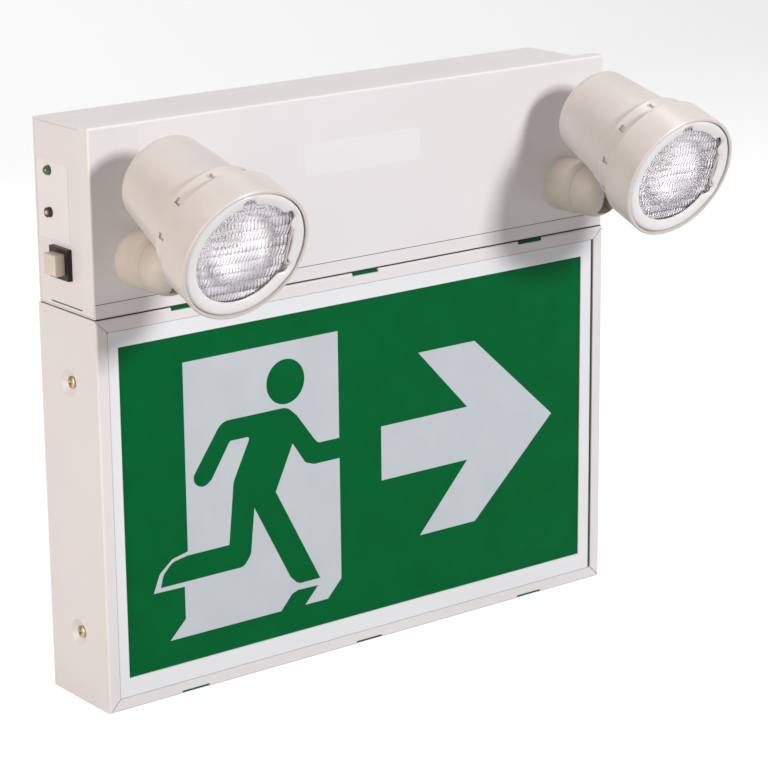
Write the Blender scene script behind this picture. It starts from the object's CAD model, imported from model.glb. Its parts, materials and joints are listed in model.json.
"""Looks of an emergency exit light: painted sheet steel, a printed safety legend, two lamp heads.

Everything is in metres in the part's own frame: +X to the viewer's right, -Y out of the front,
+Z up. Sizes of the small details are given in millimetres and turned into metres by MM.
"""
import json
import math

import bmesh
import bpy
import numpy as np
from mathutils import Matrix, Vector


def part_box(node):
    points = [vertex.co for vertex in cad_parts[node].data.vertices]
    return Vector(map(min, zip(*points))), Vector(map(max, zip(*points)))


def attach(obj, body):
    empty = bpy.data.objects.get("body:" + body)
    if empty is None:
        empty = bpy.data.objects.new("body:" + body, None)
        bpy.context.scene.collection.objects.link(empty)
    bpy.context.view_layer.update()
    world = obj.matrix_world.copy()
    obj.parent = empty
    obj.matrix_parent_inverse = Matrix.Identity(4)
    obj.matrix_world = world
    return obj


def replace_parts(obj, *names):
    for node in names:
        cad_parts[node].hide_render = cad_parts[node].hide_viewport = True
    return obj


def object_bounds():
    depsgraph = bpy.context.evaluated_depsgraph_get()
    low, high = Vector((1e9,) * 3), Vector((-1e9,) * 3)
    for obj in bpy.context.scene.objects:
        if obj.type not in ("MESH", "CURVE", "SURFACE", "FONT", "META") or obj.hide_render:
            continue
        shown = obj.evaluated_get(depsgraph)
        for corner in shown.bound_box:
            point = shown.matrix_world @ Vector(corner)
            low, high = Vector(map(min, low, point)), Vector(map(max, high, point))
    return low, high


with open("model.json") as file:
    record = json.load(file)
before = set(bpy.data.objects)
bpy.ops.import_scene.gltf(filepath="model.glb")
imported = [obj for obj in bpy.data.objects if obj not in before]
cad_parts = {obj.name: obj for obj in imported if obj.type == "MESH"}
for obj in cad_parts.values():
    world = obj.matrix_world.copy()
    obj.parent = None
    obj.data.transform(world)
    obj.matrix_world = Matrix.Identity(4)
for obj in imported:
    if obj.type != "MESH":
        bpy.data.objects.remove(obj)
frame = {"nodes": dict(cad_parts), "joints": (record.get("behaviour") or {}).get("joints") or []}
CAD_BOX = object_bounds()
MM = 0.001
JOINTS = {joint["name"]: joint for joint in frame["joints"]}
SIDES = ("left", "right")


# ---------------------------------------------------------------- camera, light and floor

EYE = (-0.8728, -1.2039, 0.4525)
VIEW_RIGHT = Vector((0.79132, -0.61133, -0.00931))
VIEW_UP = Vector((0.17449, 0.21122, 0.96174))
FOCAL_MM = 134.0


def aim_camera():
    """The camera stands to the left and above, turned by its own right and up axes."""
    data = bpy.data.cameras.new("camera")
    data.lens = FOCAL_MM
    data.sensor_width = 36
    data.clip_end = 50
    camera = bpy.data.objects.new("camera", data)
    bpy.context.scene.collection.objects.link(camera)
    right = VIEW_RIGHT.normalized()
    back = right.cross(VIEW_UP).normalized()
    up = back.cross(right)
    turn = Matrix((right, up, back)).transposed().to_4x4()
    camera.matrix_world = Matrix.Translation(EYE) @ turn
    bpy.context.scene.camera = camera


def area_light(name, place, target, watts, size, colour=(1, 1, 1)):
    """A square soft light at a place, facing a target."""
    data = bpy.data.lights.new(name, "AREA")
    data.energy = watts
    data.size = size
    data.color = colour
    light = bpy.data.objects.new(name, data)
    light.location = place
    light.rotation_euler = (Vector(target) - Vector(place)).to_track_quat("-Z", "Y").to_euler()
    bpy.context.scene.collection.objects.link(light)


def light_studio():
    """A key from the front and slightly right, a warm fill from the left, a soft top light, and a
    room that is plain white to the camera and in reflections but lends little light itself."""
    area_light("key", (0.45, -2.0, 0.95), (0, 0, 0.05), 31, 0.36, (0.975, 0.98, 1.0))
    area_light("fill_left", (-1.8, -0.25, 0.45), (0, 0, 0.05), 20.5, 1.0, (1.0, 0.92, 0.85))
    area_light("top", (0.5, 0.1, 1.9), (0, -0.03, 0.1), 11, 0.5)
    world = bpy.data.worlds.new("studio")
    bpy.context.scene.world = world
    world.use_nodes = True
    tree = world.node_tree
    room = tree.nodes["Background"]
    room.inputs["Color"].default_value = (1, 1, 1, 1)
    room.inputs["Strength"].default_value = 1.0
    weak = tree.nodes.new("ShaderNodeBackground")
    weak.inputs["Color"].default_value = (1, 1, 1, 1)
    weak.inputs["Strength"].default_value = 0.18
    by_ray(tree, room, weak, tree.nodes["World Output"].inputs["Surface"])
    bpy.context.scene.view_settings.view_transform = "Standard"


# ---------------------------------------------------------------- meshes from arrays

def new_piece(name, points, faces, smooth=True):
    """An object whose mesh has these points and these four- or three-cornered faces."""
    mesh = bpy.data.meshes.new(name)
    mesh.from_pydata(np.asarray(points, float).tolist(), [], [tuple(f) for f in faces])
    mesh.validate()
    mesh.polygons.foreach_set("use_smooth", [smooth] * len(mesh.polygons))
    item = bpy.data.objects.new(name, mesh)
    bpy.context.scene.collection.objects.link(item)
    return item


def quads(rows, columns, wrap_rows=False, wrap_columns=False, start=0):
    """Faces between neighbouring points of a grid that is stored row by row."""
    row = np.arange(rows if wrap_rows else rows - 1)
    column = np.arange(columns if wrap_columns else columns - 1)
    i, j = np.meshgrid(row, column, indexing="ij")
    i2, j2 = (i + 1) % rows, (j + 1) % columns
    corners = np.stack([i * columns + j, i * columns + j2,
                        i2 * columns + j2, i2 * columns + j], -1)
    return (corners.reshape(-1, 4) + start).tolist()


def fan(centre, loop):
    """Triangles from one point to each pair of neighbours of a closed loop."""
    loop = np.asarray(loop)
    return np.stack([np.full(len(loop), centre), loop, np.roll(loop, -1)], -1).tolist()


def turned(profile, steps):
    """Points of a profile (along, radius) carried round the Y axis: for each angle t the point is
    (radius cos t, along, radius sin t). The profile runs so that its right side is outside."""
    along, radius = np.asarray(profile, float).T
    turn = np.linspace(0, 2 * np.pi, steps, endpoint=False)[:, None]
    ones = np.ones_like(turn)
    points = np.stack([radius * np.cos(turn), along * ones, radius * np.sin(turn)], -1)
    return points.reshape(-1, 3)


def outward(item):
    """Turns every face of a closed piece outwards."""
    mesh = bmesh.new()
    mesh.from_mesh(item.data)
    bmesh.ops.remove_doubles(mesh, verts=mesh.verts, dist=1e-7)
    bmesh.ops.recalc_face_normals(mesh, faces=mesh.faces)
    mesh.to_mesh(item.data)
    mesh.free()
    return item


def ring_piece(name, profile, steps, place):
    """A closed turned solid whose profile is itself a closed loop; place carries its points from
    the axes it is turned in to where it stands."""
    points = place(turned(profile, steps))
    return outward(new_piece(name, points * MM, quads(steps, len(profile), True, True)))


def arc(centre, radius, start, end, steps):
    """Points (along, radius) on an arc about a centre, from one angle to another in degrees."""
    turn = np.radians(np.linspace(start, end, steps))
    return np.stack([centre[0] + radius * np.cos(turn), centre[1] + radius * np.sin(turn)], -1)


# ---------------------------------------------------------------- the finishes

def new_group(name, inputs, outputs):
    """An empty node group with its sockets; returns the tree and its input and output nodes."""
    tree = bpy.data.node_groups.new(name, "ShaderNodeTree")
    for title, kind, value in inputs:
        socket = tree.interface.new_socket(name=title, in_out="INPUT", socket_type=kind)
        socket.default_value = value
    for title, kind in outputs:
        tree.interface.new_socket(name=title, in_out="OUTPUT", socket_type=kind)
    return tree, tree.nodes.new("NodeGroupInput"), tree.nodes.new("NodeGroupOutput")


def noise(tree, vector, scale, detail=2.0, rough=0.5):
    """A noise texture on a vector."""
    item = tree.nodes.new("ShaderNodeTexNoise")
    tree.links.new(vector, item.inputs["Vector"])
    link_or_set(tree, scale, item.inputs["Scale"])
    item.inputs["Detail"].default_value = detail
    item.inputs["Roughness"].default_value = rough
    return item.outputs["Fac"]


def link_or_set(tree, value, socket):
    """Links a socket, or sets a plain value."""
    if isinstance(value, bpy.types.NodeSocket):
        tree.links.new(value, socket)
    else:
        socket.default_value = value


def maths(tree, kind, first, second=0.0, third=0.0):
    """A Math node."""
    item = tree.nodes.new("ShaderNodeMath")
    item.operation = kind
    for value, socket in zip((first, second, third), item.inputs):
        link_or_set(tree, value, socket)
    return item.outputs[0]


def ramp(tree, value, low, high, out_low=0.0, out_high=1.0):
    """Maps a value from low..high to out_low..out_high, held at both ends."""
    item = tree.nodes.new("ShaderNodeMapRange")
    for name, number in (("Value", value), ("From Min", low), ("From Max", high),
                         ("To Min", out_low), ("To Max", out_high)):
        link_or_set(tree, number, item.inputs[name])
    return item.outputs["Result"]


def mix(tree, share, first, second):
    """Two colours mixed by a share."""
    item = tree.nodes.new("ShaderNodeMix")
    item.data_type = "RGBA"
    link_or_set(tree, share, item.inputs["Factor"])
    link_or_set(tree, first, item.inputs[6])
    link_or_set(tree, second, item.inputs[7])
    return item.outputs[2]


def coordinates(tree):
    """The point in the object's own axes."""
    return tree.nodes.new("ShaderNodeTexCoord").outputs["Object"]


def by_ray(tree, seen, lent, surface):
    """Shows the first shader to the camera and to reflections, and the second to diffuse rays."""
    either = tree.nodes.new("ShaderNodeMixShader")
    path = tree.nodes.new("ShaderNodeLightPath")
    tree.links.new(path.outputs["Is Diffuse Ray"], either.inputs[0])
    tree.links.new(seen.outputs[0], either.inputs[1])
    tree.links.new(lent.outputs[0], either.inputs[2])
    tree.links.new(either.outputs[0], surface)


def bump(tree, height, strength, distance):
    """A Bump node's normal from a height."""
    item = tree.nodes.new("ShaderNodeBump")
    item.inputs["Distance"].default_value = distance
    link_or_set(tree, strength, item.inputs["Strength"])
    tree.links.new(height, item.inputs["Height"])
    return item.outputs["Normal"]


FINISH_OUTPUTS = (("Color", "NodeSocketColor"), ("Roughness", "NodeSocketFloat"),
                  ("Normal", "NodeSocketVector"))


def finish_out(tree, gives, colour, rough, normal):
    """Links a finish group's three results to its output node."""
    for title, value in zip(("Color", "Roughness", "Normal"), (colour, rough, normal)):
        tree.links.new(value, gives.inputs[title])


def coat_group():
    """Powder coat: a fine orange peel, a slow drift of tone and faint handling marks."""
    tree, given, gives = new_group(
        "powder_coat",
        [("Colour", "NodeSocketColor", (0.8, 0.8, 0.8, 1)),
         ("Tint", "NodeSocketColor", (0.8, 0.8, 0.8, 1)),
         ("Roughness", "NodeSocketFloat", 0.4), ("Peel", "NodeSocketFloat", 0.12),
         ("Peel Scale", "NodeSocketFloat", 900.0)], FINISH_OUTPUTS)
    where = coordinates(tree)
    drift = ramp(tree, noise(tree, where, 9.0, 2.0), 0.35, 0.65)
    marks = ramp(tree, noise(tree, where, 55.0, 5.0, 0.65), 0.60, 0.78)
    colour = mix(tree, drift, given.outputs["Colour"], given.outputs["Tint"])
    peel = noise(tree, where, given.outputs["Peel Scale"], 2.0)
    rough = maths(tree, "MULTIPLY_ADD", marks, 0.09, given.outputs["Roughness"])
    finish_out(tree, gives, colour, rough, bump(tree, peel, given.outputs["Peel"], 0.0004))
    return tree


def mould_group():
    """Moulded plastic: a soft mottle under the skin, flow marks and a very fine spark grain."""
    tree, given, gives = new_group(
        "moulded_skin",
        [("Colour", "NodeSocketColor", (0.8, 0.8, 0.8, 1)),
         ("Shade", "NodeSocketColor", (0.7, 0.7, 0.7, 1)),
         ("Roughness", "NodeSocketFloat", 0.35), ("Grain", "NodeSocketFloat", 0.06),
         ("Grain Scale", "NodeSocketFloat", 2500.0)], FINISH_OUTPUTS)
    where = coordinates(tree)
    mottle = ramp(tree, noise(tree, where, 38.0, 3.0, 0.6), 0.38, 0.66)
    colour = mix(tree, mottle, given.outputs["Colour"], given.outputs["Shade"])
    cloudy = noise(tree, where, 120.0, 2.0)
    rough = maths(tree, "MULTIPLY_ADD", cloudy, 0.12, given.outputs["Roughness"])
    grain = noise(tree, where, given.outputs["Grain Scale"], 1.0)
    finish_out(tree, gives, colour, rough, bump(tree, grain, given.outputs["Grain"], 0.0002))
    return tree


def metal_group():
    """Plated metal: fine turning scratches and dull patches."""
    tree, given, gives = new_group(
        "plated_metal",
        [("Colour", "NodeSocketColor", (0.6, 0.6, 0.6, 1)),
         ("Dull", "NodeSocketColor", (0.4, 0.4, 0.4, 1)),
         ("Roughness", "NodeSocketFloat", 0.25)], FINISH_OUTPUTS)
    where = coordinates(tree)
    patches = ramp(tree, noise(tree, where, 300.0, 4.0, 0.6), 0.42, 0.7)
    scratches = noise(tree, where, 4000.0, 2.0)
    colour = mix(tree, patches, given.outputs["Colour"], given.outputs["Dull"])
    rough = maths(tree, "MULTIPLY_ADD", patches, 0.2, given.outputs["Roughness"])
    finish_out(tree, gives, colour, rough, bump(tree, scratches, 0.15, 0.0001))
    return tree


GROUPS = {}


def material(name, group, values, metallic=0.0, specular=0.5, coat=0.0, coat_rough=0.1):
    """A Principled material fed by one of the finish groups with its own values."""
    item = bpy.data.materials.new(name)
    item.use_nodes = True
    tree = item.node_tree
    shader = tree.nodes["Principled BSDF"]
    finish = tree.nodes.new("ShaderNodeGroup")
    finish.node_tree = GROUPS[group]
    for title, value in values.items():
        finish.inputs[title].default_value = value
    for title, socket in (("Color", "Base Color"), ("Roughness", "Roughness"),
                          ("Normal", "Normal")):
        tree.links.new(finish.outputs[title], shader.inputs[socket])
    shader.inputs["Metallic"].default_value = metallic
    shader.inputs["Specular IOR Level"].default_value = specular
    shader.inputs["Coat Weight"].default_value = coat
    shader.inputs["Coat Roughness"].default_value = coat_rough
    return item


def colour(red, green, blue):
    """A display colour from 0 to 255 as the linear colour that a shader takes."""
    shares = np.array((red, green, blue)) / 255
    linear = np.where(shares <= 0.04045, shares / 12.92, ((shares + 0.055) / 1.055) ** 2.4)
    return (*linear.tolist(), 1.0)


def glass(name, tint, rough, ior, ripple=0.0, scale=60.0, share=1.0):
    """Clear plastic or glass, with a faint ripple of its surface; share is how clear it is."""
    item = bpy.data.materials.new(name)
    item.use_nodes = True
    tree = item.node_tree
    shader = tree.nodes["Principled BSDF"]
    shader.inputs["Base Color"].default_value = tint
    shader.inputs["Transmission Weight"].default_value = share
    shader.inputs["Roughness"].default_value = rough
    shader.inputs["IOR"].default_value = ior
    if ripple:
        height = noise(tree, coordinates(tree), scale, 2.0)
        tree.links.new(bump(tree, height, ripple, 0.0004), shader.inputs["Normal"])
    return item


def make_finishes():
    """Every finish of the unit, by name."""
    GROUPS.update(coat=coat_group(), mould=mould_group(), metal=metal_group())
    return {
        "cream_paint": material(
            "cream_paint", "coat",
            {"Colour": colour(236, 231, 231), "Tint": colour(232, 226, 226), "Roughness": 0.38}),
        "cover_paint": material(
            "cover_paint", "coat",
            {"Colour": colour(237, 233, 233), "Tint": colour(233, 229, 229), "Roughness": 0.36}),
        "white_face": material(
            "white_face", "coat",
            {"Colour": colour(240, 240, 242), "Tint": colour(236, 236, 239), "Roughness": 0.33,
             "Peel": 0.08}),
        "legend_green": material(
            "legend_green", "mould",
            {"Colour": colour(0, 100, 50), "Shade": colour(0, 95, 46), "Roughness": 0.34,
             "Grain": 0.05}, specular=0.05),
        "legend_white": material(
            "legend_white", "mould",
            {"Colour": colour(206, 211, 216), "Shade": colour(201, 207, 212), "Roughness": 0.34,
             "Grain": 0.05}, specular=0.1),
        "head_plastic": material(
            "head_plastic", "mould",
            {"Colour": colour(222, 213, 208), "Shade": colour(215, 206, 201), "Roughness": 0.27,
             "Grain": 0.04}, coat=0.15, coat_rough=0.2),
        "collar_plastic": material(
            "collar_plastic", "mould",
            {"Colour": colour(208, 198, 188), "Shade": colour(198, 188, 178), "Roughness": 0.4,
             "Grain": 0.08}, specular=0.45),
        "link_plastic": material(
            "link_plastic", "mould",
            {"Colour": colour(206, 196, 192), "Shade": colour(196, 184, 180), "Roughness": 0.3,
             "Grain": 0.04}),
        "lens_rim": material(
            "lens_rim", "mould",
            {"Colour": colour(240, 238, 236), "Shade": colour(234, 231, 229), "Roughness": 0.12,
             "Grain": 0.02}, coat=0.5, coat_rough=0.05),
        "label": material(
            "label", "mould",
            {"Colour": colour(240, 238, 239), "Shade": colour(239, 237, 238), "Roughness": 0.42,
             "Grain": 0.02}, specular=0.3),
        "black_plastic": material(
            "black_plastic", "mould",
            {"Colour": colour(26, 22, 21), "Shade": colour(20, 17, 17), "Roughness": 0.3,
             "Grain": 0.1}, specular=0.3),
        "beige_plastic": material(
            "beige_plastic", "mould",
            {"Colour": colour(232, 222, 204), "Shade": colour(222, 210, 190), "Roughness": 0.3,
             "Grain": 0.05}),
        "plated_steel": material(
            "plated_steel", "metal",
            {"Colour": colour(188, 170, 138), "Dull": colour(104, 88, 66), "Roughness": 0.24},
            metallic=1.0),
        "spring_steel": material(
            "spring_steel", "metal",
            {"Colour": colour(180, 180, 182), "Dull": colour(140, 140, 144), "Roughness": 0.25},
            metallic=1.0),
        "core": material(
            "core", "metal",
            {"Colour": colour(90, 88, 86), "Dull": colour(60, 58, 56), "Roughness": 0.5},
            metallic=0.7),
        "circuit_board": material(
            "circuit_board", "mould",
            {"Colour": colour(30, 92, 50), "Shade": colour(24, 78, 42), "Roughness": 0.35,
             "Grain": 0.1, "Grain Scale": 1500.0}),
        "led": material(
            "led", "mould",
            {"Colour": colour(240, 236, 200), "Shade": colour(230, 224, 170), "Roughness": 0.2}),
        "green_lens": material(
            "green_lens", "mould",
            {"Colour": colour(22, 92, 52), "Shade": colour(14, 62, 36), "Roughness": 0.08,
             "Grain": 0.01}, specular=0.6, coat=0.6, coat_rough=0.03),
        "amber_lens": material(
            "amber_lens", "mould",
            {"Colour": colour(226, 204, 160), "Shade": colour(206, 180, 130), "Roughness": 0.1,
             "Grain": 0.01}, specular=0.6, coat=0.6, coat_rough=0.03),
        "seam_shadow": material(
            "seam_shadow", "mould",
            {"Colour": colour(84, 74, 72), "Shade": colour(70, 61, 60), "Roughness": 0.9,
             "Grain": 0.02}, specular=0.05),
        "brown_ring": material(
            "brown_ring", "mould",
            {"Colour": colour(70, 46, 30), "Shade": colour(52, 33, 22), "Roughness": 0.25,
             "Grain": 0.02}, specular=0.4),
        "socket_plastic": material(
            "socket_plastic", "mould",
            {"Colour": colour(230, 226, 216), "Shade": colour(220, 214, 204), "Roughness": 0.6},
            specular=0.4),
        "reflector_plating": material(
            "reflector_plating", "metal",
            {"Colour": colour(244, 242, 245), "Dull": colour(234, 231, 236), "Roughness": 0.16},
            metallic=1.0),
        "clear_lens": glass("clear_lens", (0.99, 0.975, 0.985, 1), 0.02, 1.45, share=0.97),
        "lamp_glass": glass("lamp_glass", (0.98, 0.98, 0.98, 1), 0.02, 1.45, 0.1, 200.0),
    }


def paint(item, finish):
    """Gives a piece one finish."""
    item.data.materials.clear()
    item.data.materials.append(finish)


# ---------------------------------------------------------------- lamp heads

NOSE_DOWN = math.radians(21)
PIVOT_DROP = 40.6
RIM = -56.1
LENS_BACK = RIM + 3.2
APERTURE = 26.4
RING_RADIUS = 33.0
EAR_ANGLES = (98, 38, -24)
EAR_HEIGHT = 3.4
EAR_HALF_ANGLE = 0.13
FIELD_RADIUS = 30.4
BAND_PITCH = 5.6
BULB_RADIUS = 4.0
BRIM_RADIUS = 30.6
AXIS = 0.01
DISH_MOUTH = 27.3
DISH_NECK = 6.5
DISH_FRONT = RIM + 6.0
DISH_DEPTH = 17.0


def on_head(side):
    """Carries points from a lamp's own axes to its place: turned nose down about X and hung above
    the tilt pivot."""
    pivot = np.array(JOINTS[side + "_tilt"]["pos_m"]) / MM
    cos, sin = math.cos(NOSE_DOWN), math.sin(NOSE_DOWN)

    def place(points):
        x, y, z = np.asarray(points, float).T
        z = z + PIVOT_DROP
        return np.stack([x, y * cos - z * sin, y * sin + z * cos], -1) + pivot

    return place


def aperture(turn):
    """The clear opening's radius at each angle: a circle with three round ears."""
    radius = np.full_like(turn, APERTURE)
    for middle in EAR_ANGLES:
        off = (turn - math.radians(middle) + np.pi) % (2 * np.pi) - np.pi
        radius = radius + EAR_HEIGHT * np.exp(-(off / EAR_HALF_ANGLE) ** 4)
    return radius


def lens_rim(side):
    """The white ring round the clear field: for each angle t its section runs from the rounded
    outer edge over a raised bead to the opening's eared edge, and back."""
    steps = 288
    turn = np.linspace(0, 2 * np.pi, steps, endpoint=False)
    inner = aperture(turn)
    share = np.array([1.0, 1.0, 0.97, 0.86, 0.72, 0.55, 0.38, 0.22, 0.08, 0.0, 0.0, 0.5, 1.0])
    front = np.array([2.3, 1.5, 1.2, 0.55, 0.35, 0.42, 0.62, 0.9, 1.2, 1.5, 2.1, 2.3, 2.3]) + RIM
    radius = inner[:, None] + (RING_RADIUS - inner)[:, None] * share[None, :]
    along = np.broadcast_to(front, radius.shape)
    points = np.stack([radius * np.cos(turn)[:, None], along, radius * np.sin(turn)[:, None]], -1)
    item = new_piece(side + "_lens_rim", on_head(side)(points.reshape(-1, 3)) * MM,
                     quads(steps, len(share), True, True))
    return outward(item)


def flutes(x, z):
    """How far the clear field's inner face stands out: level bands of convex section, each
    crossed by upright flutes whose pitch changes from band to band."""
    level = (z + 5 * BAND_PITCH) / BAND_PITCH
    band = np.floor(level)
    convex = 1 - (2 * (level - band) - 1) ** 2
    width = 1.7 + 0.5 * np.mod(band * 0.37, 1.0)
    lean = 0.35 * (np.mod(band, 2) - 0.5)
    fine = np.abs(np.sin(np.pi * (x + lean * z) / width))
    return 0.62 * convex + 0.48 * fine


def clear_field(side):
    """The prismatic lens: a disc sampled in columns x and, in each column, by shares of its chord;
    its outer face is smooth and its inner face carries the bands and flutes."""
    radius = FIELD_RADIUS
    across, up = 236, 150
    x = radius * np.sin(np.linspace(-0.4995 * np.pi, 0.4995 * np.pi, across))
    share = np.linspace(-1, 1, up)
    chord = np.sqrt(radius ** 2 - x ** 2)
    grid_x = np.repeat(x[:, None], up, 1)
    grid_z = chord[:, None] * share[None, :]
    edge = np.clip((radius - np.hypot(grid_x, grid_z)) / 1.5, 0, 1)
    crown = 0.5 * (1 - (grid_x ** 2 + grid_z ** 2) / radius ** 2)
    outer = np.full_like(grid_x, RIM + 2.45) - crown
    inner = np.full_like(grid_x, LENS_BACK) + 1.1 - flutes(grid_x, grid_z) * edge
    front = np.stack([grid_x, outer, grid_z], -1).reshape(-1, 3)
    back = np.stack([grid_x, inner, grid_z], -1).reshape(-1, 3)
    count = across * up
    faces = quads(across, up) + [face[::-1] for face in quads(across, up, start=count)]
    rim = np.concatenate([
        np.arange(up), np.arange(1, across) * up + up - 1,
        (across - 1) * up + np.arange(up - 2, -1, -1), np.arange(across - 2, 0, -1) * up])
    after = np.roll(rim, -1)
    faces += np.stack([rim, rim + count, after + count, after], -1).tolist()
    points = on_head(side)(np.concatenate([front, back])) * MM
    return outward(new_piece(side + "_clear_lens", points, faces))


def dish(side):
    """The plated reflector: a bowl whose radius grows with the root of the depth, with a flat
    brim, turned about the lamp's axis with a wall of even thickness."""
    depth = np.linspace(0, 1, 26)
    along = DISH_FRONT + DISH_DEPTH * (1 - depth)
    growth = np.sqrt(depth * (2 - depth) * 0.35 + depth * 0.65)
    radius = DISH_NECK + (DISH_MOUTH - DISH_NECK) * growth
    bowl = np.stack([along, radius], -1)
    wall = bowl[::-1] + (0.9, 0.55)
    wall[0] = (DISH_FRONT + 1.0, DISH_MOUTH + 0.9)
    back = DISH_FRONT + DISH_DEPTH + 6
    brim = [(DISH_FRONT, BRIM_RADIUS), (DISH_FRONT + 1.0, BRIM_RADIUS)]
    profile = np.concatenate([bowl, brim, wall, [(back, DISH_NECK + 0.6), (back, DISH_NECK)]])
    return ring_piece(side + "_dish", profile, 128, on_head(side))


def capsule(side):
    """The lamp's glass: a straight tube closed by a half round, turned about the lamp's axis."""
    tip = DISH_FRONT + DISH_DEPTH - 10
    foot = DISH_FRONT + DISH_DEPTH + 0.8
    dome = arc((tip + BULB_RADIUS, 0), BULB_RADIUS, 180, 90, 14)
    profile = np.concatenate([[(tip, AXIS)], dome[1:], [(foot, BULB_RADIUS), (foot, AXIS)]])
    return ring_piece(side + "_lamp_glass", profile, 64, on_head(side))


def spring_link(side):
    """The oval link at the right of the field: a flat loop whose centre line is a long oval,
    carried round with a rounded rectangular section."""
    steps = 160
    turn = np.linspace(0, 2 * np.pi, steps, endpoint=False)
    middle_x, half_wide, half_tall, bar, power = 26.6, 2.0, 9.6, 0.6, 0.62
    cos, sin = np.cos(turn), np.sin(turn)
    centre = np.stack([middle_x + half_wide * np.sign(cos) * np.abs(cos) ** power,
                       half_tall * np.sign(sin) * np.abs(sin) ** power], -1)
    along = np.roll(centre, -1, 0) - np.roll(centre, 1, 0)
    along /= np.linalg.norm(along, axis=1)[:, None]
    side_way = np.stack([along[:, 1], -along[:, 0]], -1)
    section = np.array([(-1, -0.7), (-0.7, -1), (0.7, -1), (1, -0.7),
                        (1, 0.7), (0.7, 1), (-0.7, 1), (-1, 0.7)])
    x = centre[:, None, 0] + side_way[:, None, 0] * section[None, :, 0] * bar
    z = centre[:, None, 1] + side_way[:, None, 1] * section[None, :, 0] * bar
    y = np.broadcast_to(RIM + 1.45 + section[None, :, 1] * 0.5, x.shape)
    points = on_head(side)(np.stack([x, y, z], -1).reshape(-1, 3)) * MM
    faces = quads(steps, len(section), True, True)
    return outward(new_piece(side + "_spring_link", points, faces))


def build_heads(finishes):
    """The lens, rim, reflector, lamp and link of both heads."""
    for side in SIDES:
        body = side + "_head"
        for build, node, finish, slot in (
                (clear_field, "lens", "clear_lens", "clear_lens"),
                (lens_rim, None, "lens_rim", "head_plastic"),
                (dish, "reflector", "reflector_plating", "reflector_plating"),
                (capsule, "lamp", "lamp_glass", "lamp_glass"),
                (spring_link, "lens_clip", "link_plastic", "head_plastic")):
            item = build(side)
            paint(item, finishes[finish])
            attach(item, body)
            if node:
                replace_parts(item, side + "_" + node)


# ---------------------------------------------------------------- legend

def rounded(corners, steps=9):
    """An outline with rounded corners: each corner is (x, z) or (x, z, r). The corner is cut back
    by r / tan(half its angle), and the cut ends a, b are joined by the curve
    (1 - s)^2 a + 2 s (1 - s) corner + s^2 b."""
    spots = np.array([corner[:2] for corner in corners], float)
    reach = np.array([corner[2] if len(corner) > 2 else 0.0 for corner in corners])
    before = np.roll(spots, 1, 0) - spots
    after = np.roll(spots, -1, 0) - spots
    before /= np.linalg.norm(before, axis=1)[:, None]
    after /= np.linalg.norm(after, axis=1)[:, None]
    half = np.arccos(np.clip((before * after).sum(1), -1, 1)) / 2
    cut_back = reach / np.tan(half)
    share = np.linspace(0, 1, steps)[:, None]
    out = []
    for spot, one, two, back, radius in zip(spots, before, after, cut_back, reach):
        if not radius:
            out.append(spot[None, :])
            continue
        start, end = spot + one * back, spot + two * back
        out.append((1 - share) ** 2 * start + 2 * share * (1 - share) * spot + share ** 2 * end)
    return np.concatenate(out)


def film(name, outlines, front, thickness):
    """A thin flat film with these outlines (x, z), its outer face at front; where one outline
    lies inside another it is a hole."""
    curve = bpy.data.curves.new(name, "CURVE")
    curve.dimensions = "2D"
    curve.fill_mode = "BOTH"
    curve.extrude = thickness / 2 * MM
    for points in outlines:
        spline = curve.splines.new("POLY")
        spline.points.add(len(points) - 1)
        flat = np.tile((0.0, 0.0, 0.0, 1.0), (len(points), 1))
        flat[:, :2] = np.asarray(points) * MM
        spline.points.foreach_set("co", flat.ravel())
        spline.use_cyclic_u = True
    holder = bpy.data.objects.new(name + "_curve", curve)
    mesh = bpy.data.meshes.new_from_object(holder)
    bpy.data.objects.remove(holder)
    upright = Matrix.Rotation(math.radians(90), 4, "X")
    mesh.transform(Matrix.Translation((0, front + thickness / 2 * MM, 0)) @ upright)
    item = bpy.data.objects.new(name, mesh)
    bpy.context.scene.collection.objects.link(item)
    return outward(item)


SIGN_MIDDLE = (165.5, 102.5)
DOOR = [
    (50.9, 175.5), (50.9, 77.2), (50.8, 75.9), (41.3, 73.8, 4), (33.5, 67.5, 5), (29.6, 57.8),
    (48.4, 57.5), (48.5, 40.0), (38.8, 30.3), (138.8, 30.0), (147.9, 39.6), (147.6, 175.5),
]
SHADOW_FOOT = [(107.8, 29.5), (115.6, 38.1, 3), (119.4, 39.4), (132.5, 39.1), (123.4, 29.5)]
ARROW = [
    (175.5, 88.4), (234.4, 88.4), (201.3, 52.0), (239.7, 52.0), (294.6, 103.5), (239.5, 154.5),
    (200.9, 154.5), (234.4, 118.4), (175.5, 118.4),
]
RUNNER = [
    (73.5, 140.5, 9), (56.3, 116.0), (54.6, 112.4, 5), (61.0, 107.0, 6), (66.5, 111.0, 3),
    (77.8, 128.5, 2), (78.8, 129.3), (91.0, 129.3, 1.5), (80.0, 107.0, 8), (76.6, 75.0),
    (76.4, 73.8), (50.6, 73.8), (41.3, 72.2, 8), (35.6, 66.5, 7), (34.0, 60.0),
    (85.5, 60.0, 6), (89.9, 66.0, 5), (92.6, 90.5), (114.8, 47.5, 4), (119.6, 42.9, 6),
    (134.0, 42.9), (106.3, 96.3), (117.6, 120.4), (125.6, 108.4, 4), (131.3, 106.5, 5),
    (148.0, 106.5), (148.0, 117.6), (134.2, 117.6, 3), (132.0, 119.6, 3), (120.6, 135.0),
    (114.5, 140.5, 8),
]
HEAD = (113.8, 154.4, 12.0)


def on_panel(points):
    """Legend outlines are measured from the sign's lower left corner."""
    return np.asarray(points) - SIGN_MIDDLE


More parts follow.
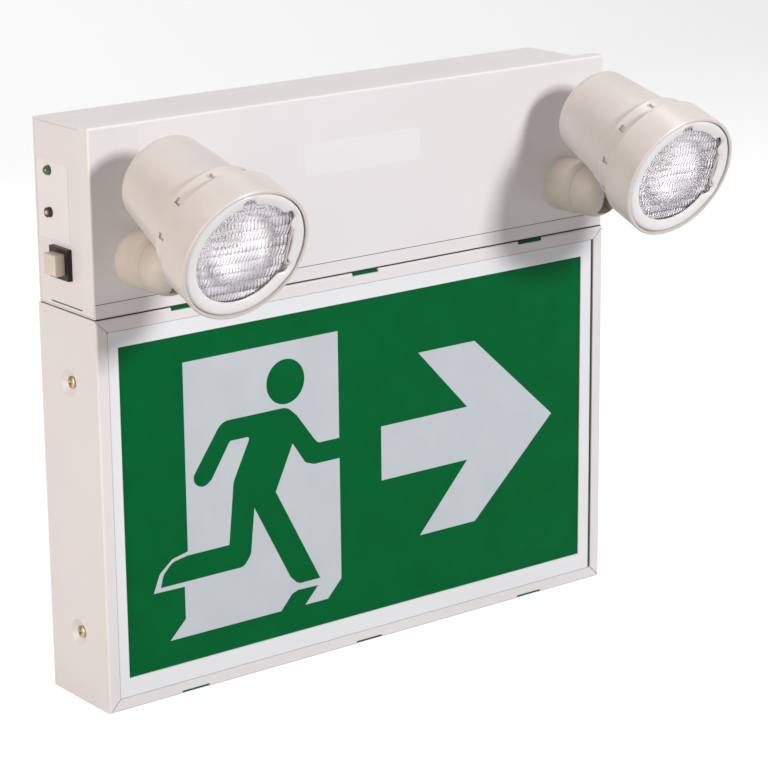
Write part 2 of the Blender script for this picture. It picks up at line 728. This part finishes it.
def build_legend(finishes):
    """The white doorway and arrow on the green panel, and the green runner over the doorway."""
    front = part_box("legend_panel")[0].y
    x, z, radius = HEAD
    turn = np.linspace(0, 2 * np.pi, 72, endpoint=False)
    head = np.stack([x + radius * np.cos(turn), z + radius * np.sin(turn)], -1)
    layers = (
        ("doorway", [rounded(DOOR)], 0.05, "legend_white"),
        ("arrow", [rounded(ARROW)], 0.05, "legend_white"),
        ("runner", [rounded(RUNNER), head], 0.09, "legend_green"),
        ("runner_shadow", [rounded(SHADOW_FOOT)], 0.09, "legend_green"),
    )
    for name, outlines, stand, finish in layers:
        item = film(name, [on_panel(points) for points in outlines], front - stand * MM, stand)
        paint(item, finishes[finish])
        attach(item, "housing")


# ---------------------------------------------------------------- screws and indicators

def cross_screw(centre, outward_x):
    """A pan head with a cross recess: the height over radius r is a flattened dome, less a recess
    that is deepest in the middle and falls off across each arm. Returns points and faces."""
    radius, height, arm, half, recess, slope = 3.15, 1.9, 1.75, 0.36, 1.15, 0.22
    rings, steps = 40, 96
    r = radius * np.linspace(0.012, 1, rings)[:, None]
    turn = np.linspace(0, 2 * np.pi, steps, endpoint=False)[None, :]
    y, z = r * np.cos(turn), r * np.sin(turn)
    dome = height * (1 - 0.42 * (r / radius) ** 2.6) * np.ones_like(y)
    across = np.minimum(np.maximum(np.abs(y) - half, 0) + np.maximum(np.abs(z) - arm, 0) * 2,
                        np.maximum(np.abs(z) - half, 0) + np.maximum(np.abs(y) - arm, 0) * 2)
    deep = recess * (1 - np.clip(r / (arm * 1.25), 0, 1) ** 2)
    level = dome - deep * np.clip(1 - across / slope, 0, 1)
    top = np.stack([outward_x * level, y, z], -1).reshape(-1, 3)
    foot = np.stack([np.zeros(steps), radius * np.cos(turn[0]), radius * np.sin(turn[0])], -1)
    ends = [(outward_x * (height - recess), 0, 0), (0, 0, 0)]
    points = np.concatenate([top, foot, ends]) + centre
    last = (rings - 1) * steps
    faces = quads(rings, steps, wrap_columns=True)
    rim = np.arange(steps)
    after = np.roll(rim, -1)
    count = rings * steps
    faces += np.stack([last + rim, last + after, count + after, count + rim], -1).tolist()
    faces += fan(count + steps, rim) + fan(count + steps + 1, count + rim)
    return points, faces


def build_screws(finishes):
    """The four cross-recess screws in the side dimples, with their shanks."""
    low, high = (np.array(corner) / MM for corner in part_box("side_screws"))
    middle_y = (low[1] + high[1]) / 2
    head_z = (high[2] - low[2]) / 2 - (high[1] - low[1]) / 2
    shank_radius, shank_length, head_stand = 1.8, 7, 2.1
    shank = turned([(0, AXIS), (0, shank_radius), (shank_length, shank_radius),
                    (shank_length, AXIS)], 32)[:, [1, 0, 2]]
    points, faces = [], []
    start = 0
    for side in (-1, 1):
        seat = side * (high[0] - head_stand)
        for up in (-1, 1):
            centre = np.array((seat, middle_y, up * head_z))
            head, head_faces = cross_screw(centre, side)
            points.append(head)
            faces += [[index + start for index in face] for face in head_faces]
            start += len(head)
            points.append(shank * (-side, 1, 1) + centre)
            faces += quads(32, 4, True, True, start)
            start += len(shank)
    item = outward(new_piece("side_screw_heads", np.concatenate(points) * MM, faces))
    paint(item, finishes["plated_steel"])
    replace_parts(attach(item, "housing"), "side_screws")


def build_indicators(finishes):
    """The domed power indicator, and the fault indicator with a dark ring round a small dome, each
    turned about X."""
    steps = 48
    for node, finish, radius, ringed in (("power_indicator", "green_lens", 2.5, False),
                                         ("fault_indicator", "amber_lens", 1.3, True)):
        low, high = (np.array(corner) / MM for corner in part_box(node))
        tip, foot = low[0], high[0]
        middle = (0, (low[1] + high[1]) / 2, (low[2] + high[2]) / 2)

        def place(points):
            return points[:, [1, 0, 2]] + middle

        dome = arc((tip + radius, 0), radius, 180, 90, 16)
        profile = np.concatenate([[(tip, AXIS)], dome[1:], [(foot, radius), (foot, AXIS)]])
        item = ring_piece(node + "_dome", profile, steps, place)
        paint(item, finishes[finish])
        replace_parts(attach(item, "housing"), node)
        if ringed:
            ring = [(tip + 1.0, 1.4), (tip + 0.75, 1.6), (tip + 0.75, 2.2), (tip + 1.0, 2.5),
                    (foot, 2.5), (foot, 1.4)]
            item = ring_piece(node + "_ring", ring, steps, place)
            paint(item, finishes["brown_ring"])
            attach(item, "housing")


def strip(low, high):
    """The eight corners and six faces of a thin straight strip."""
    x, y, z = np.meshgrid(*zip(low, high), indexing="ij")
    points = np.stack([x, y, z], -1).reshape(-1, 3)
    faces = np.array([(0, 1, 3, 2), (4, 6, 7, 5), (0, 4, 5, 1),
                      (2, 3, 7, 6), (0, 2, 6, 4), (1, 5, 7, 3)])
    return points, faces


UNIT_LEFT, UNIT_RIGHT = -163.9, 164.4
WINDOW_LEFT, WINDOW_RIGHT = -152.5, 149.5
WINDOW_LOW, WINDOW_TOP = -86.05, 87.45


def build_seams(finishes):
    """Dark fillings of the open joints: between battery unit and sign box, round the cover, and at
    the edge of the legend."""
    (_, front, low), (_, _, high) = np.array(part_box("unit_cover")) / MM
    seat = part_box("sign_frame")[1].z / MM
    face = np.array(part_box("face_frame")) / MM
    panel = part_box("legend_panel")[0].y / MM
    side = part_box("end_panel")[0].x / MM
    strips = [
        ((UNIT_LEFT, -52.1, seat), (UNIT_RIGHT, -51.4, seat + 0.45)),
        ((side - 0.06, -51.5, seat + 0.02), (side + 0.4, -1.0, seat + 0.4)),
        ((UNIT_LEFT, -51.95, low - 0.32), (UNIT_RIGHT, -51.5, low - 0.02)),
        ((side - 0.05, front + 0.35, low + 1), (side + 0.1, front + 0.6, high - 0.6)),
        ((face[1][0] + 0.05, panel - 0.06, face[0][2] + 0.2),
         (face[1][0] + 1.45, panel - 0.01, face[1][2] - 0.2)),
        ((WINDOW_LEFT, panel - 0.2, WINDOW_TOP - 0.35), (WINDOW_RIGHT, panel - 0.15, WINDOW_TOP)),
        ((WINDOW_RIGHT - 0.5, panel - 0.2, WINDOW_LOW), (WINDOW_RIGHT, panel - 0.15, WINDOW_TOP)),
    ]
    points, faces = [], []
    for count, corners in enumerate(strips):
        spots, sides = strip(*corners)
        points.append(spots)
        faces += (sides + 8 * count).tolist()
    item = outward(new_piece("open_seams", np.concatenate(points) * MM, faces, smooth=False))
    paint(item, finishes["seam_shadow"])
    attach(item, "housing")


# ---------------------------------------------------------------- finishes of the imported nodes

NODE_FINISH = {
    "sign_frame": "cream_paint", "face_frame": "white_face", "legend_panel": "legend_green",
    "sign_back": "cream_paint", "unit_case": "cream_paint", "end_panel": "cream_paint",
    "unit_cover": "cover_paint", "cover_label": "label", "indicator_plate": "label",
    "indicator_board": "circuit_board", "test_switch": "black_plastic",
    "test_button": "beige_plastic", "button_spring": "spring_steel", "battery": "black_plastic",
    "battery_tabs": "plated_steel", "battery_strap": "spring_steel",
    "board_standoffs": "plated_steel", "charger_board": "circuit_board", "transformer": "core",
    "board_parts": "black_plastic", "terminal_block": "black_plastic",
    "join_bolts": "plated_steel", "join_nuts": "plated_steel", "wire_bushing": "black_plastic",
    "led_strip_top": "circuit_board", "led_strip_bottom": "circuit_board", "sign_leds": "led",
}
HEAD_FINISH = {
    "collar": "collar_plastic", "collar_nut": "collar_plastic", "knuckle": "collar_plastic",
    "pivot_pin": "plated_steel", "retaining_ring": "spring_steel", "head_shell": "head_plastic",
    "head_neck": "head_plastic", "bezel": "head_plastic", "socket": "socket_plastic",
}


def paint_nodes(finishes):
    """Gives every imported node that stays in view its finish."""
    wanted = dict(NODE_FINISH)
    for side in SIDES:
        wanted.update({side + "_" + piece: finish for piece, finish in HEAD_FINISH.items()})
    for node, finish in wanted.items():
        item = frame["nodes"][node]
        for place in item.material_slots:
            place.material = finishes[finish]


def lay_floor():
    """A wide pale floor under the unit that sweeps up behind it by a quarter circle of radius r:
    (r + r sin t, r - r cos t)."""
    low = CAD_BOX[0].z
    half_width, near_end, radius, top = 4, -5.0, 1.2, 4.0
    across = np.linspace(-half_width, half_width, 3)
    bend = np.radians(np.linspace(0, 90, 14))
    run = np.concatenate([[near_end], radius + radius * np.sin(bend), [2 * radius]])
    rise = np.concatenate([[0.0], radius - radius * np.cos(bend), [top]])
    x, y = np.meshgrid(across, run, indexing="ij")
    z = np.repeat((rise + low)[None, :], len(across), 0)
    points = np.stack([x, y, z], -1).reshape(-1, 3)
    floor = new_piece("floor", points, quads(len(across), len(run)))
    finish = bpy.data.materials.new("studio_paper")
    finish.use_nodes = True
    tree = finish.node_tree
    drift = noise(tree, coordinates(tree), 3.0)
    tone = mix(tree, drift, colour(250, 250, 250), colour(246, 246, 247))
    paper = tree.nodes["Principled BSDF"]
    tree.links.new(tone, paper.inputs["Base Color"])
    paper.inputs["Roughness"].default_value = 0.9
    paper.inputs["Emission Color"].default_value = (1, 1, 1, 1)
    paper.inputs["Emission Strength"].default_value = 0.5
    grey = tree.nodes.new("ShaderNodeBsdfDiffuse")
    grey.inputs["Color"].default_value = (0.42, 0.42, 0.42, 1)
    by_ray(tree, paper, grey, tree.nodes["Material Output"].inputs["Surface"])
    paint(floor, finish)


aim_camera()
light_studio()
FINISHES = make_finishes()
paint_nodes(FINISHES)
build_heads(FINISHES)
build_legend(FINISHES)
build_screws(FINISHES)
build_indicators(FINISHES)
build_seams(FINISHES)
lay_floor()
